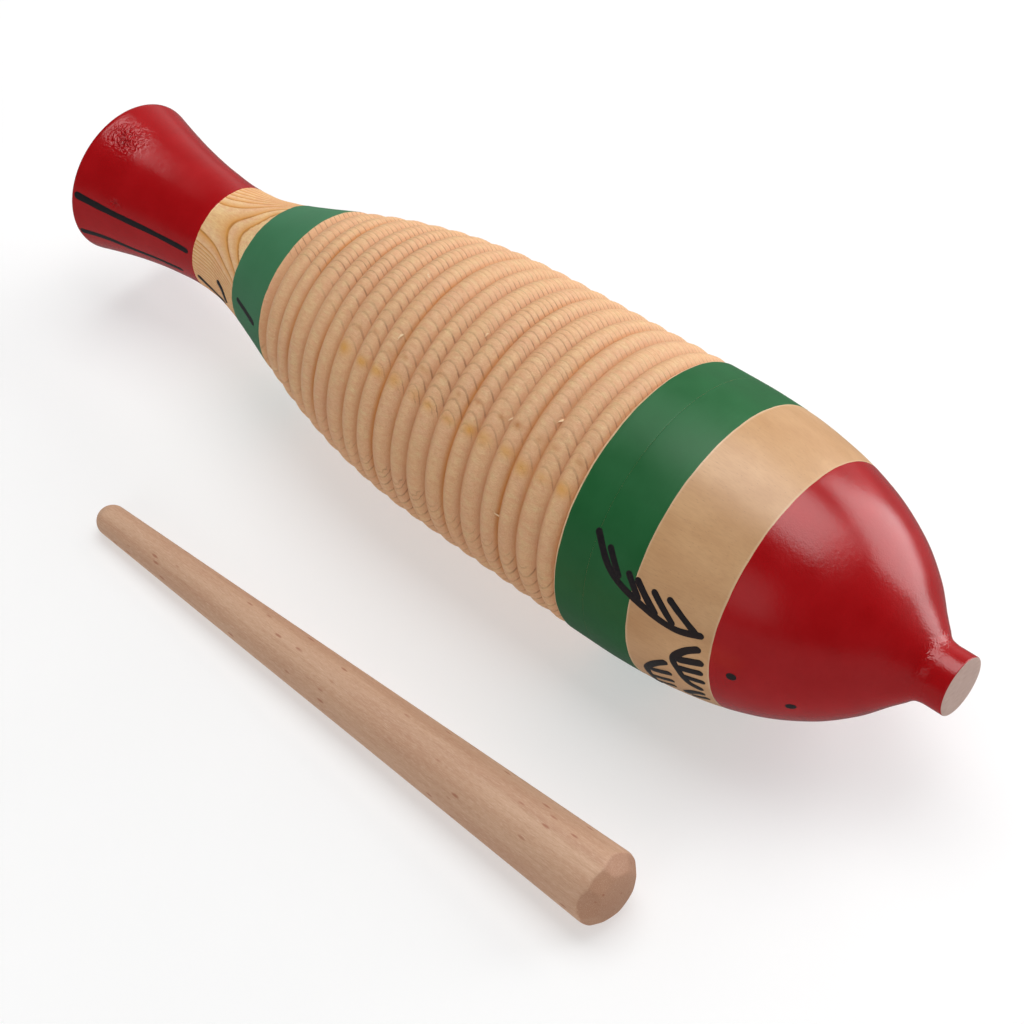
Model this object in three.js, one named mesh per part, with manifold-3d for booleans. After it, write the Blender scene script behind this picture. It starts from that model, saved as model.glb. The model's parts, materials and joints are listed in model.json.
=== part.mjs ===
// Fish-shaped wooden guiro with its loose beech scraper.
// Millimetres, +Z up. The instrument lies on its barrel along +X (tail at -X, nose at +X), and the
// scraper lies beside it on the -Y side. The origin is on the table, under the middle of the pair.

import * as THREE from 'three';
import { mergeVertices } from 'three/addons/utils/BufferGeometryUtils.js';
import Module from 'manifold-3d';

// ---- Driving dimensions ------------------------------------------------------------------------

const SIDES = 40;                 // facets round every turned piece of the instrument
const GAP = 0.3;                  // glue gap between pieces that touch

// Outer outline of the instrument: [distance from the tail, radius], joined by a smooth curve.
const OUTLINE = [
  [0, 27.4], [10, 24.8], [22, 22.1], [36, 19.9], [50, 18.8], [60, 19.3], [72, 21.8], [84, 25.6],
  [98, 30.5], [120, 37.3], [143, 42.1], [165, 44.5], [190, 45.3], [252, 46.2], [268, 45.5],
  [285, 43.1], [301, 38.7], [316, 31.6], [327, 23.4], [334, 16.1], [339, 11.2],
];
const LENGTH = 350;               // tail face to the cut end of the nose dowel
const JOINT_AT = 250.3;           // glued joint between the pine body and the hardwood head
const NOSE_AT = 339;              // front of the head, where the dowel comes out

const RIDGE_START = 99.4;         // first groove of the scraping ridges
const RIDGE_END = 237.4;          // last groove
const RIDGE_COUNT = 18;           // beads between the grooves
const RIDGE_DEPTH = 2.1;          // groove depth below the bead crests
const RIDGE_WANDER = 0.4;         // how far hand-turned grooves stray from an even pitch
const RIDGE_STEPS = 3;            // straight facets across one bead
const SHOULDER = 2.2;             // bevel from the painted bands down into the end grooves

const BORE_RADIUS = 34;           // resonance chamber bored from the joint end
const BORE_BOTTOM = 112;          // blind end of the chamber
const BORE_TAPER_END = 152;       // where the chamber reaches its full radius
const BORE_TIP_RADIUS = 20;       // chamber radius at its blind end
const TENON_RADIUS = 38;          // head tenon that plugs the chamber
const TENON_LENGTH = 10;

const HOLE_RADIUS = 11;           // finger and sound holes, through the wall at the back
const HOLE_POSITIONS = [158, 212];
const HOLE_SIDES = 24;

const DOWEL_RADIUS = 9.6;         // nose dowel, the fish's mouth
const DOWEL_DEPTH = 18;           // glued into the head
const DOWEL_SIDES = 24;

const REST_TILT = THREE.MathUtils.degToRad(1);   // the barrel lies on its ridges, nose end thicker

const SCRAPER_LENGTH = 224.4;
const SCRAPER_TIP_RADIUS = 5.1;
const SCRAPER_BUTT_RADIUS = 12.1;
const SCRAPER_CHAMFER = 6;        // length of the knife-cut chamfer round the butt end
const SCRAPER_FLAT_RADIUS = 8.2;  // flat left in the middle of the butt end
const SCRAPER_SIDES = 24;
const SCRAPER_YAW = THREE.MathUtils.degToRad(-1.1);
const SCRAPER_START = 86.8;         // its tip lies this far along from the tail
const SCRAPER_OFFSET = 94;        // and this far out from the instrument's axis

// ---- Shared helpers ----------------------------------------------------------------------------

// Slopes of a curve that passes through the outline points without overshooting between them.
function outlineSlopes(points) {
  const secant = points.slice(1).map(([x, r], i) => (r - points[i][1]) / (x - points[i][0]));
  return points.map((_, i) => {
    if (i === 0) return secant[0];
    if (i === points.length - 1) return secant[i - 1];
    const before = secant[i - 1];
    const after = secant[i];
    return before * after > 0 ? (2 * before * after) / (before + after) : 0;
  });
}

const SLOPES = outlineSlopes(OUTLINE);

// Radius of the smooth outline at a distance from the tail.
function outlineRadius(x) {
  const last = OUTLINE.length - 2;
  const found = OUTLINE.findIndex(([start], i) => i <= last && x <= OUTLINE[i + 1][0]);
  const i = found < 0 ? last : found;
  const [x0, r0] = OUTLINE[i];
  const [x1, r1] = OUTLINE[i + 1];
  const span = x1 - x0;
  const t = (x - x0) / span;
  const bend = t * t * (3 - 2 * t);
  return r0 + (r1 - r0) * bend
    + span * t * (1 - t) * (SLOPES[i] * (1 - t) - SLOPES[i + 1] * t);
}

function outlineBetween(start, end, steps) {
  return Array.from({ length: steps + 1 }, (_, i) => {
    const x = start + ((end - start) * i) / steps;
    return [x, outlineRadius(x)];
  });
}

// A turned solid along +X. Its profile is a list of [x, radius] points, from one end to the other.
function turned(profile, sides) {
  const points = profile.map(([x, radius]) => new THREE.Vector2(radius, x));
  const lathe = new THREE.LatheGeometry(points, sides, Math.PI / sides);
  return lathe.rotateZ(-Math.PI / 2);
}

function pinToAxis(profile) {
  return [[profile[0][0], 0], ...profile, [profile[profile.length - 1][0], 0]];
}

const wasm = await Module();
wasm.setup();

function toSolid(geometry) {
  const bare = geometry.clone();
  bare.deleteAttribute('normal');
  bare.deleteAttribute('uv');
  const merged = mergeVertices(bare, 1e-4);
  return new wasm.Manifold(new wasm.Mesh({
    numProp: 3,
    vertProperties: new Float32Array(merged.attributes.position.array),
    triVerts: new Uint32Array(merged.index.array),
  }));
}

function toGeometry(solid) {
  const mesh = solid.getMesh();
  const geometry = new THREE.BufferGeometry();
  geometry.setAttribute('position', new THREE.BufferAttribute(mesh.vertProperties, 3));
  geometry.setIndex(new THREE.BufferAttribute(mesh.triVerts, 1));
  geometry.computeVertexNormals();
  return geometry;
}

function piece(name, geometry, color, roughness) {
  const material = new THREE.MeshStandardMaterial({ color, roughness, metalness: 0 });
  const mesh = new THREE.Mesh(geometry, material);
  mesh.name = name;
  return mesh;
}

// ---- Pine body: tail, neck and ridged barrel, bored from the joint end --------------------------

function groovePosition(i) {
  const inside = i > 0 && i < RIDGE_COUNT;
  const pitch = (RIDGE_END - RIDGE_START) / RIDGE_COUNT;
  return RIDGE_START + i * pitch + (inside ? RIDGE_WANDER * Math.sin(2.3 * i) : 0);
}

function ridgeProfile() {
  const profile = [];
  for (let bead = 0; bead < RIDGE_COUNT; bead += 1) {
    const start = groovePosition(bead);
    const width = groovePosition(bead + 1) - start;
    for (let step = 0; step < RIDGE_STEPS; step += 1) {
      const t = step / RIDGE_STEPS;
      const x = start + width * t;
      profile.push([x, outlineRadius(x) - RIDGE_DEPTH * (2 * t - 1) ** 2]);
    }
  }
  profile.push([RIDGE_END, outlineRadius(RIDGE_END) - RIDGE_DEPTH]);
  return profile;
}

function boreProfile() {
  return [
    [JOINT_AT, TENON_RADIUS + GAP],
    [JOINT_AT - TENON_LENGTH - GAP, TENON_RADIUS + GAP],
    [JOINT_AT - TENON_LENGTH - GAP, BORE_RADIUS],
    [BORE_TAPER_END, BORE_RADIUS],
    [(BORE_TAPER_END + BORE_BOTTOM) / 2, BORE_RADIUS * 0.85],
    [BORE_BOTTOM, BORE_TIP_RADIUS],
    [BORE_BOTTOM, 0],
  ];
}

function fingerHole(x) {
  const depth = TENON_RADIUS;
  const drill = new THREE.CylinderGeometry(HOLE_RADIUS, HOLE_RADIUS, depth, HOLE_SIDES);
  return drill.translate(x, BORE_RADIUS / 2 + depth / 2, 0);
}

function makeBody() {
  const profile = [
    [0, 0],
    ...outlineBetween(0, RIDGE_START - SHOULDER, 14),
    ...ridgeProfile(),
    ...outlineBetween(RIDGE_END + SHOULDER, JOINT_AT, 1),
    ...boreProfile(),
  ];
  const drilled = HOLE_POSITIONS.reduce(
    (solid, x) => solid.subtract(toSolid(fingerHole(x))),
    toSolid(turned(profile, SIDES)),
  );
  return piece('ridged_body', toGeometry(drilled), 0xd6a878, 0.6);
}

// ---- Hardwood head: tenon, bare band and painted nose -------------------------------------------

function makeHead() {
  const back = JOINT_AT + GAP;
  const socketBottom = NOSE_AT - DOWEL_DEPTH - GAP;
  const profile = [
    [back - TENON_LENGTH, 0],
    [back - TENON_LENGTH, TENON_RADIUS],
    [back, TENON_RADIUS],
    ...outlineBetween(back, NOSE_AT, 14),
    [NOSE_AT, DOWEL_RADIUS + GAP],
    [socketBottom, DOWEL_RADIUS + GAP],
    [socketBottom, 0],
  ];
  return piece('head', turned(profile, SIDES), 0xb01018, 0.25);
}

function makeNoseDowel() {
  const profile = pinToAxis([
    [NOSE_AT - DOWEL_DEPTH, DOWEL_RADIUS],
    [NOSE_AT, DOWEL_RADIUS],
    [LENGTH, DOWEL_RADIUS],
  ]);
  return piece('nose_dowel', turned(profile, DOWEL_SIDES), 0xa81018, 0.3);
}

// ---- Scraper: a tapered beech stick -------------------------------------------------------------

function makeScraper() {
  const taper = (SCRAPER_BUTT_RADIUS - SCRAPER_TIP_RADIUS) / SCRAPER_LENGTH;
  const stickRadius = (x) => SCRAPER_TIP_RADIUS + taper * x;
  const tip = [0.35, 0.75, 1].map((t) => {
    const x = SCRAPER_TIP_RADIUS * (1 - Math.cos((t * Math.PI) / 2));
    return [x, stickRadius(x) * Math.sin((t * Math.PI) / 2)];
  });
  const chamferStart = SCRAPER_LENGTH - SCRAPER_CHAMFER;
  const profile = [
    [0, 0],
    ...tip,
    [SCRAPER_LENGTH / 2, stickRadius(SCRAPER_LENGTH / 2)],
    [chamferStart, stickRadius(chamferStart)],
    [SCRAPER_LENGTH, SCRAPER_FLAT_RADIUS],
    [SCRAPER_LENGTH, 0],
  ];
  const stick = piece('scraper', turned(profile, SCRAPER_SIDES), 0xcfa27c, 0.65);
  const lean = Math.atan(taper);
  stick.rotation.set(0, -lean, SCRAPER_YAW, 'ZYX');
  stick.position.set(
    SCRAPER_START,
    -SCRAPER_OFFSET,
    (SCRAPER_TIP_RADIUS / Math.cos(lean)) * Math.cos(Math.PI / SCRAPER_SIDES),
  );
  return stick;
}

// ---- Assembly -----------------------------------------------------------------------------------

// Height of the tail end's axis that lets the tilted barrel just touch the table.
function axisHeight() {
  const reach = outlineBetween(0, NOSE_AT, NOSE_AT).map(([x, radius]) => (
    radius * Math.cos(Math.PI / SIDES) * Math.cos(REST_TILT) - x * Math.sin(REST_TILT)
  ));
  return Math.max(...reach);
}

const instrument = new THREE.Group();
instrument.add(makeBody(), makeHead(), makeNoseDowel());
instrument.rotation.y = -REST_TILT;
instrument.position.z = axisHeight();

const pair = new THREE.Group();
pair.add(instrument, makeScraper());

const guiro = new THREE.Group();
guiro.add(pair);

// The origin is under the middle of the pair's bounding box.
pair.updateMatrixWorld(true);
const extent = new THREE.Box3().setFromObject(pair, true);
const middle = extent.getCenter(new THREE.Vector3());
pair.position.set(-middle.x, -middle.y, -extent.min.z);

export default guiro;
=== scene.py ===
"""Looks of a turned wooden fish guiro and its beech scraper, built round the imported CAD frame.

Each real piece is one closed mesh. Turned pieces are modelled in millimetres along their own axis
(x from the tail, angles measured from the upward direction towards the front) and placed by the
record's mounts.
"""

import json
import math

import bmesh
import bpy
import numpy as np
from mathutils import Matrix, Vector


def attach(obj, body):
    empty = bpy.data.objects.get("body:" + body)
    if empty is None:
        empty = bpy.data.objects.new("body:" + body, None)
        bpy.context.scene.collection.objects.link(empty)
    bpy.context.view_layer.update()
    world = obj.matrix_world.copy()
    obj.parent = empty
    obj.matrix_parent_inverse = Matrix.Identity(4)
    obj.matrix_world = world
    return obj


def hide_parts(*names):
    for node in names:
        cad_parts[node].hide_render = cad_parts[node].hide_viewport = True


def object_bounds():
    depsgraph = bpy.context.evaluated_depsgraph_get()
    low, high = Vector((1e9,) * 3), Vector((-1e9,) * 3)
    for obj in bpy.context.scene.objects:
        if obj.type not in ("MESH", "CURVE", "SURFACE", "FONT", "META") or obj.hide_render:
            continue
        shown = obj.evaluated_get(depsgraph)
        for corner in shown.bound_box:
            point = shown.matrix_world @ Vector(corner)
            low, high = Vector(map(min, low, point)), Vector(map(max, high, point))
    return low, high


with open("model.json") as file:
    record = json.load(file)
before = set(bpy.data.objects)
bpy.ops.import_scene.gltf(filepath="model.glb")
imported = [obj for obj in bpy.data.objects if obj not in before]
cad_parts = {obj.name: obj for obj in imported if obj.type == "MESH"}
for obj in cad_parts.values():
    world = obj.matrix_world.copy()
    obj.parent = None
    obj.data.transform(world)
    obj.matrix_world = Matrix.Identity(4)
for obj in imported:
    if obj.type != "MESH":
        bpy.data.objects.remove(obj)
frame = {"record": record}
cad_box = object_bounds()

MM = 0.001

# ---- Driving dimensions, in millimetres from the tail, as in the CAD part ----

OUTLINE = [
    (0, 27.4), (10, 24.8), (22, 22.1), (36, 19.9), (50, 18.8), (60, 19.3), (72, 21.8), (84, 25.6),
    (98, 30.5), (120, 37.3), (143, 42.1), (165, 44.5), (190, 45.3), (252, 46.2), (268, 45.5),
    (285, 43.1), (301, 38.7), (316, 31.6), (327, 23.4), (334, 16.1), (339, 11.2),
]
LENGTH = 350.0
JOINT_AT = 250.3
NOSE_AT = 339.0

RIDGE_START = 99.4
RIDGE_END = 237.4
RIDGE_COUNT = 18
RIDGE_DEPTH = 2.1
RIDGE_WANDER = 0.4
PILLOW = 0.075               # the softer wood stands proud between the latewood lines
SHOULDER = 2.2

BORE_RADIUS = 34.0
BORE_BOTTOM = 112.0
BORE_TAPER_END = 152.0
BORE_TIP_RADIUS = 20.0
TENON_RADIUS = 38.0
TENON_LENGTH = 10.0
HOLE_RADIUS = 11.0
HOLE_POSITIONS = (158.0, 212.0)
DOWEL_RADIUS = 9.6
DOWEL_DEPTH = 18.0

SCRAPER_LENGTH = 224.4
SCRAPER_TIP_RADIUS = 5.1
SCRAPER_BUTT_RADIUS = 12.1

# Where the paint zones end.
TAIL_PAINT_END = 52.5
GREEN_1 = (76.5, 96.8)
GREEN_2 = (239.2, 266.1)
NOSE_PAINT_START = 293.2
PAINT_THICKNESS = 0.05

BODY_SEGMENTS = 480
HEAD_SEGMENTS = 320
DOWEL_SEGMENTS = 128
SCRAPER_SEGMENTS = 200
CUTTER_SEGMENTS = 96

# The side turned to the viewer, as an angle round the axis from straight up towards the front.
VIEWER_SIDE = math.radians(38.1)


# ---- Outline ----

def outline_slopes(points):
    secants = [(r1 - r0) / (x1 - x0) for (x0, r0), (x1, r1) in zip(points, points[1:])]
    slopes = [secants[0]]
    for before, after in zip(secants, secants[1:]):
        slopes.append(2 * before * after / (before + after) if before * after > 0 else 0.0)
    return slopes + [secants[-1]]


OUTLINE_X = np.array([x for x, _ in OUTLINE], float)
OUTLINE_R = np.array([r for _, r in OUTLINE], float)
SLOPES = np.array(outline_slopes(OUTLINE))


def outline_radius(x):
    """Radius of the smooth outline at distances x from the tail."""
    x = np.asarray(x, float)
    i = np.clip(np.searchsorted(OUTLINE_X, x, side="right") - 1, 0, len(OUTLINE) - 2)
    span = OUTLINE_X[i + 1] - OUTLINE_X[i]
    t = np.clip((x - OUTLINE_X[i]) / span, 0, 1)
    r0, r1 = OUTLINE_R[i], OUTLINE_R[i + 1]
    bend = t * t * (3 - 2 * t)
    return r0 + (r1 - r0) * bend + span * t * (1 - t) * (SLOPES[i] * (1 - t) - SLOPES[i + 1] * t)


def groove_position(i):
    pitch = (RIDGE_END - RIDGE_START) / RIDGE_COUNT
    inside = 0 < i < RIDGE_COUNT
    return RIDGE_START + i * pitch + (RIDGE_WANDER * math.sin(2.3 * i) if inside else 0.0)


GROOVES = np.array([groove_position(i) for i in range(RIDGE_COUNT + 1)])


# ---- Small helpers ----

def smoothstep(low, high, value):
    t = np.clip((value - low) / (high - low), 0, 1)
    return t * t * (3 - 2 * t)


def wobble(seed, *coordinates, octaves=4, gain=0.55):
    """Smooth seeded variation in about -1..1 from sums of sines over the coordinates given."""
    rng = np.random.default_rng(seed)
    total = 0.0
    norm = 0.0
    for octave in range(octaves):
        weights = rng.normal(size=(3, len(coordinates))) * (1.9 ** octave)
        phases = rng.uniform(0, 2 * math.pi, 3)
        amplitude = gain ** octave
        for w, phase in zip(weights, phases):
            total = total + amplitude * np.sin(sum(a * c for a, c in zip(w, coordinates)) + phase)
            norm += amplitude
    return total / norm * 1.6


def bell(value, centre, width):
    """1 at the centre, falling smoothly to 0 a couple of widths away."""
    return np.exp(-(((value - centre) / width) ** 2))


def around(angle):
    """Unit direction across the axis, at an angle from straight up towards the front."""
    return np.array([0.0, -math.sin(angle), math.cos(angle)])


def round_axis(x, radius, angle):
    """Points at distances x along the axis, at a radius and an angle from straight up."""
    return np.stack([x, -radius * np.sin(angle), radius * np.cos(angle)], -1)


def polar(points):
    """Distance along the axis, radius and angle from straight up of each point."""
    x, y, z = points.T
    return x, np.hypot(y, z), np.arctan2(-y, z)


def segment_angles(segments):
    return np.arange(segments) * 2 * math.pi / segments


def from_viewer(angle):
    """An angle round the axis in degrees from the viewer's side, within -180 to 180."""
    return np.degrees((angle - VIEWER_SIDE + math.pi) % (2 * math.pi) - math.pi)


def row_grids(rows, segments):
    """For rows of (x, radius, zone): grids of x and radius, and the zone that follows each row."""
    x = np.array([row[0] for row in rows])
    radius = np.array([row[1] for row in rows])
    zones = [row[2] for row in rows][:-1]
    return np.repeat(x[:, None], segments, 1), np.repeat(radius[:, None], segments, 1), zones


def turned_faces(rows, segments):
    """Quads between the rows, and triangles to the two poles, whose vertices come last."""
    seg = np.arange(segments)
    nxt = (seg + 1) % segments
    row = np.arange(rows - 1)[:, None] * segments
    quads = np.stack([row + seg, row + nxt, row + segments + nxt, row + segments + seg], -1).reshape(-1, 4)
    start_pole, end_pole = rows * segments, rows * segments + 1
    end_row = (rows - 1) * segments
    start_cap = np.stack([np.full(segments, start_pole), nxt, seg], -1)
    end_cap = np.stack([np.full(segments, end_pole), end_row + seg, end_row + nxt], -1)
    return quads, np.concatenate([start_cap, end_cap])


def turned_mesh(name, grid_x, grid_r, zones, start_pole, end_pole):
    """A closed turned mesh from grids of x and radius, a line of them per row from start to end."""
    rows, segments = grid_x.shape
    grid = round_axis(grid_x, grid_r, segment_angles(segments)).reshape(-1, 3)
    verts = np.concatenate([grid, [[start_pole, 0, 0], [end_pole, 0, 0]]])
    quads, triangles = turned_faces(rows, segments)
    corners = np.concatenate([quads.ravel(), triangles.ravel()])
    starts = np.concatenate([np.arange(len(quads)) * 4, quads.size + np.arange(len(triangles)) * 3])
    numbers = np.repeat([*zones, zones[0], zones[-1]], segments)
    mesh = bpy.data.meshes.new(name)
    mesh.vertices.add(len(verts))
    mesh.vertices.foreach_set("co", verts.astype(np.float32).ravel())
    mesh.loops.add(len(corners))
    mesh.loops.foreach_set("vertex_index", corners.astype(np.int32))
    mesh.polygons.add(len(starts))
    mesh.polygons.foreach_set("loop_start", starts.astype(np.int32))
    mesh.update(calc_edges=True)
    mesh.polygons.foreach_set("material_index", numbers.astype(np.int32))
    mesh.validate()
    return mesh


def closed_mesh(name, verts, faces):
    """A mesh from closed shells, with its faces turned outwards."""
    mesh = bpy.data.meshes.new(name)
    mesh.from_pydata([tuple(v) for v in verts], [], faces)
    shells = bmesh.new()
    shells.from_mesh(mesh)
    bmesh.ops.recalc_face_normals(shells, faces=shells.faces)
    shells.to_mesh(mesh)
    shells.free()
    return mesh


def tube_faces(offset, stations, ring):
    """Faces of one closed tube: its vertices start at an offset, with a ring of them per station."""
    faces = []
    for k in range(stations - 1):
        for j in range(ring):
            a = offset + k * ring + j
            b = offset + k * ring + (j + 1) % ring
            faces.append((a, b, b + ring, a + ring))
    faces.append(tuple(offset + j for j in reversed(range(ring))))
    faces.append(tuple(offset + (stations - 1) * ring + j for j in range(ring)))
    return faces


def coordinates(mesh):
    co = np.zeros(len(mesh.vertices) * 3, np.float32)
    mesh.vertices.foreach_get("co", co)
    return co.reshape(-1, 3).astype(float)


def set_attribute(mesh, name, values):
    attribute = mesh.attributes.get(name) or mesh.attributes.new(name, "FLOAT", "POINT")
    attribute.data.foreach_set("value", np.asarray(values, np.float32))


def add_object(name, data):
    thing = bpy.data.objects.new(name, data)
    bpy.context.scene.collection.objects.link(thing)
    return thing


def place(name, mesh, placement, sharp_degrees, materials=()):
    """An object in the shared frame for a mesh modelled in millimetres along the piece's own axis."""
    mesh.polygons.foreach_set("use_smooth", np.ones(len(mesh.polygons), bool))
    mesh.set_sharp_from_angle(angle=math.radians(sharp_degrees))
    mesh.transform(placement @ Matrix.Scale(MM, 4))
    mesh.update()
    for material in materials:
        mesh.materials.append(material)
    return add_object(name, mesh)


def mount(name):
    found = next(m for m in frame["record"]["mounts"] if m["name"] == name)
    return Vector(found["pos_m"]), Vector(found["axis"])


def along(axis, origin):
    """Placement with local +X along an axis and local +Z as near to up as it goes."""
    x = axis.normalized()
    y = Vector((0, 0, 1)).cross(x).normalized()
    z = x.cross(y)
    turn = Matrix((x, y, z)).transposed().to_4x4()
    return Matrix.Translation(origin) @ turn


tail_at, _ = mount("tail_end")
_, nose_axis = mount("nose_end")
INSTRUMENT = along(nose_axis, tail_at)
butt_at, butt_axis = mount("scraper_butt")
SCRAPER = along(butt_axis, butt_at - butt_axis.normalized() * SCRAPER_LENGTH * MM)


# ---- Node helpers ----

class Nodes:
    """A short way to add nodes to a node tree."""

    def __init__(self, tree):
        self.tree = tree
        tree.nodes.clear()

    def feed(self, socket, value):
        if isinstance(value, bpy.types.NodeSocket):
            self.tree.links.new(value, socket)
        elif isinstance(value, tuple) and len(value) == 3 and socket.type == "RGBA":
            socket.default_value = (*value, 1)
        else:
            socket.default_value = value

    def node(self, kind, **settings):
        made = self.tree.nodes.new(kind)
        for key, value in settings.items():
            setattr(made, key, value)
        return made

    def fill(self, made, **inputs):
        """Fills the named inputs of a node and gives its first output."""
        for key, value in inputs.items():
            self.feed(made.inputs[key.replace("_", " ")], value)
        return made.outputs[0]

    def split(self, vector):
        made = self.node("ShaderNodeSeparateXYZ")
        self.feed(made.inputs[0], vector)
        return made.outputs

    def math(self, operation, a, b=0.0):
        made = self.node("ShaderNodeMath", operation=operation)
        self.feed(made.inputs[0], a)
        self.feed(made.inputs[1], b)
        return made.outputs[0]

    def times(self, a, b):
        return self.math("MULTIPLY", a, b)

    def ramp(self, value, *stops):
        """A ramp through (position, grey) stops."""
        made = self.node("ShaderNodeValToRGB")
        elements = made.color_ramp.elements
        while len(elements) < len(stops):
            elements.new(0.5)
        for element, (at, grey) in zip(elements, stops):
            element.position = at
            element.color = (grey, grey, grey, 1)
        self.feed(made.inputs[0], value)
        return made.outputs[0]

    def rise(self, value, low, high, top=1.0):
        return self.ramp(value, (low, 0.0), (high, top))

    def spots(self, value, width, top):
        return self.ramp(value, (0.0, top), (width, 0.0))

    def range(self, value, low, high, to_low=0.0, to_high=1.0, **settings):
        made = self.node("ShaderNodeMapRange", **settings)
        for socket, item in zip(made.inputs, (value, low, high, to_low, to_high)):
            self.feed(socket, item)
        return made.outputs[0]

    def mix(self, factor, a, b):
        made = self.node("ShaderNodeMix", data_type="RGBA")
        self.feed(made.inputs["Factor"], factor)
        self.feed(made.inputs[6], a)
        self.feed(made.inputs[7], b)
        return made.outputs[2]


class Shader(Nodes):
    """A material round one Principled BSDF, in the coordinates of a piece with a placement."""

    def __init__(self, name, placement):
        self.placement = placement
        self.material = bpy.data.materials.new(name)
        self.material.use_nodes = True
        super().__init__(self.material.node_tree)
        self.bsdf = self.node("ShaderNodeBsdfPrincipled")
        output = self.node("ShaderNodeOutputMaterial")
        self.feed(output.inputs[0], self.bsdf.outputs[0])

    def set(self, **inputs):
        self.fill(self.bsdf, **inputs)

    def set_roughness(self, noise, low, high):
        self.set(Roughness=self.range(noise, 0.3, 0.7, low, high))

    def position(self, scale=(1, 1, 1), offset=(0, 0, 0)):
        """The piece's own coordinates in millimetres, times a scale along each axis."""
        texture = self.node("ShaderNodeTexCoord")
        own = self.fill(
            self.node("ShaderNodeMapping", vector_type="TEXTURE"), Vector=texture.outputs["Object"],
            Location=self.placement.to_translation(), Rotation=self.placement.to_euler(), Scale=(MM, MM, MM),
        )
        return self.fill(self.node("ShaderNodeMapping"), Vector=own, Scale=scale, Location=offset)

    def attribute(self, name):
        return self.node("ShaderNodeAttribute", attribute_name=name).outputs["Fac"]

    def noise(self, place=(1, 1, 1), detail=3.0, roughness=0.55, scale=1.0, distortion=0.0,
              offset=(0, 0, 0)):
        """Noise over the piece, with features per millimetre along each axis."""
        return self.fill(
            self.node("ShaderNodeTexNoise"), Vector=self.position(place, offset), Scale=scale,
            Detail=detail, Roughness=roughness, Distortion=distortion,
        )

    def cells(self, place, offset=(0, 0, 0)):
        """Distance from scattered points, with cells per millimetre along each axis."""
        made = self.node("ShaderNodeTexVoronoi")
        return self.fill(made, Vector=self.position(place, offset), Scale=1.0, Randomness=1.0)

    def bump(self, height, distance_mm, normal=None):
        made = self.node("ShaderNodeBump")
        if normal is not None:
            self.feed(made.inputs["Normal"], normal)
        return self.fill(made, Strength=1.0, Distance=distance_mm * MM, Height=height)


# ---- Materials ----

EARLYWOOD = (0.870, 0.545, 0.282)
EARLYWOOD_PINK = (0.855, 0.510, 0.285)
EARLYWOOD_SHADE = (0.720, 0.385, 0.185)
EARLYWOOD_YELLOW = (0.860, 0.600, 0.310)
EARLYWOOD_FIBRE = (0.580, 0.270, 0.115)
FLUSH = (0.780, 0.380, 0.200)
TORN = (0.920, 0.700, 0.440)
LATEWOOD = (0.430, 0.205, 0.090)
LATEWOOD_PIT = (0.340, 0.120, 0.045)
RESIN = (0.760, 0.350, 0.055)
KNOT = (0.560, 0.200, 0.050)
# Darker, redder wood in every groove: partly painted groove shade, partly a reddish tint.
GROOVE_SHADE_AND_TINT = (0.680, 0.330, 0.170)
BURNISHED = (0.670, 0.255, 0.045)
SOFT_RING = (0.660, 0.320, 0.130)
NECK_WOOD = (0.940, 0.680, 0.340)
NECK_LINE = (0.420, 0.160, 0.030)
NECK_SOFT_RING = (0.720, 0.300, 0.045)
INSIDE_SOFT_RING = (0.500, 0.250, 0.100)

RED_PAINT = ((0.350, 0.0014, 0.0032), (0.410, 0.0020, 0.0046))
GREEN_PAINT = ((0.012, 0.108, 0.029), (0.017, 0.128, 0.038))
# The narrow band's green: the same paint made paler, a painted sheen.
SHEEN_LIT_GREEN_PAINT = ((0.045, 0.182, 0.082), (0.058, 0.212, 0.102))

HARDWOOD = ((0.640, 0.380, 0.190), (0.520, 0.280, 0.125))
HARDWOOD_GRAIN = (0.380, 0.195, 0.085)
HARDWOOD_EDGE = (0.800, 0.620, 0.420)
HARDWOOD_PORE = (0.220, 0.110, 0.055)

END_GRAIN = ((0.600, 0.430, 0.370), (0.510, 0.340, 0.280))
END_GRAIN_SPECK = (0.300, 0.170, 0.120)

BEECH = ((0.650, 0.405, 0.260), (0.560, 0.315, 0.195))
BEECH_STREAK = (0.500, 0.255, 0.150)
BEECH_RAY = (0.430, 0.235, 0.135)
BEECH_CUT = (0.440, 0.205, 0.112)
BEECH_THREAD = (0.800, 0.600, 0.440)
BEECH_PORE = (0.430, 0.225, 0.135)
BEECH_FLECK = (0.400, 0.140, 0.070)

INK = ((0.006, 0.005, 0.008), (0.020, 0.012, 0.014))
FIBRE = ((0.880, 0.660, 0.400), (0.780, 0.500, 0.260))
FLOOR = ((0.500, 0.500, 0.500), (0.520, 0.520, 0.520))
FLOOR_GLOW = 0.47


def pine_ground(s, base, fine_fibres):
    """The wood between the ring lines: rosy clouds, yellow patches, streaks and torn specks."""
    blotches = s.noise(scale=0.07)
    patches = s.noise((0.22, 0.45, 0.45), offset=(3.0, 1.0, 5.0))
    fibres = s.noise((0.10, 1.6, 1.6), detail=4, roughness=0.6)
    flush = s.noise((0.35, 0.8, 0.8), roughness=0.6)
    specks = s.cells((0.35, 1.2, 1.2))
    rosy = s.mix(s.rise(blotches, 0.36, 0.64), base, EARLYWOOD_PINK)
    clean = s.mix(s.rise(patches, 0.48, 0.70, 0.85), rosy, EARLYWOOD_YELLOW)
    streaked = s.mix(s.rise(fibres, 0.45, 0.8, 0.4), clean, EARLYWOOD_SHADE)
    flushed = s.mix(s.rise(flush, 0.44, 0.70, 0.60), streaked, FLUSH)
    torn = s.mix(s.spots(specks, 0.13, 0.7), flushed, TORN)
    return s.mix(s.rise(fine_fibres, 0.38, 0.8, 0.45), torn, EARLYWOOD_FIBRE)


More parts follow.
